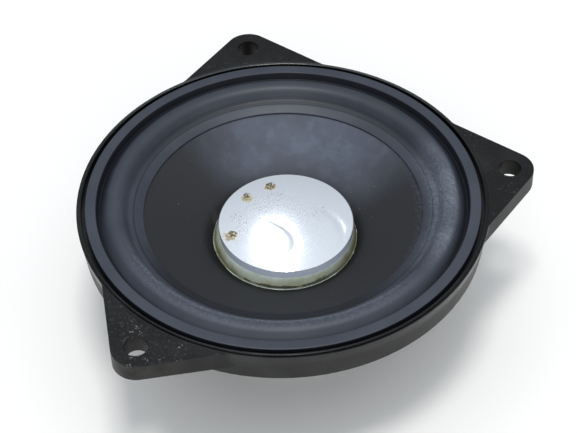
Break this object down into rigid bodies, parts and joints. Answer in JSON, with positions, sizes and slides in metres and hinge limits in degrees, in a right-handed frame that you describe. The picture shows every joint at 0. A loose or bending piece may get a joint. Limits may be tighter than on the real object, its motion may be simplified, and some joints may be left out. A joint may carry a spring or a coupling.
{
  "type": "car door midrange loudspeaker",
  "caption": "Round three-eared car door loudspeaker driver with rubber surround, dark cone and silver dust cap; its diaphragm travels along the axis.",
  "frame": {"origin": "centre of the flat rear face of the magnet yoke, which the driver stands on", "axes": "+Z along the driver's axis towards the listener; the single ear points along -Y and the other two lie at 45 degrees either side of +Y, where the terminals are"},
  "size_m": [0.104, 0.1169, 0.0422],
  "materials": {
    "basket_plastic": "black glass-filled plastic, satin, dusty",
    "surround_rubber": "satin butyl rubber with dusty bloom",
    "cone_paper": "matte charcoal pulp cone",
    "cap_silver": "glossy silver lacquered plastic with small stains",
    "glue_amber": "aged translucent yellow-green glue",
    "glue_black": "glossy black rubber cement",
    "former_aluminium": "thin bright aluminium",
    "copper_wire": "enamelled copper",
    "collar_paper": "brown kraft paper",
    "spider_fabric": "resin-treated woven cotton",
    "tinsel_braid": "braided tinned copper",
    "plated_steel": "zinc-plated turned steel",
    "ferrite": "ground dark grey ferrite",
    "screw_steel": "blackened steel",
    "board_phenolic": "brown phenolic board",
    "tag_tinned": "tinned brass",
    "rivet_brass": "brass",
    "solder": "tin solder, satin"
  },
  "bodies": {
    "chassis": {"basket": "basket_plastic", "surround": "surround_rubber", "spider": "spider_fabric", "spider_bond_ring": "glue_black", "tinsel_lead_positive": "tinsel_braid", "tinsel_lead_negative": "tinsel_braid", "t_yoke": "plated_steel", "magnet": "ferrite", "magnet_glue_rear": "glue_black", "magnet_glue_front": "glue_black", "top_plate": "plated_steel", "plate_screws": "screw_steel", "terminal_board": "board_phenolic", "terminal_tag_positive": "tag_tinned", "terminal_tag_negative": "tag_tinned", "terminal_rivets": "rivet_brass", "terminal_solder": "solder"},
    "diaphragm": {"cone": "cone_paper", "dust_cap": "cap_silver", "cap_glue_bead": "glue_amber", "voice_coil_former": "former_aluminium", "voice_coil_winding": "copper_wire", "former_collar": "collar_paper", "neck_glue_bead": "glue_black", "spider_glue_bead": "glue_black", "coil_leadouts": "copper_wire", "lead_glue_dots": "glue_black"}
  },
  "joints": [
    {"name": "cone_travel", "type": "slide", "parent": "chassis", "child": "diaphragm", "axis": [0, 0, 1], "range_m": [-0.003, 0.003], "stiffness_N_per_m": 1500, "deforming": ["surround", "spider", "tinsel_lead_positive", "tinsel_lead_negative"]}
  ]
}
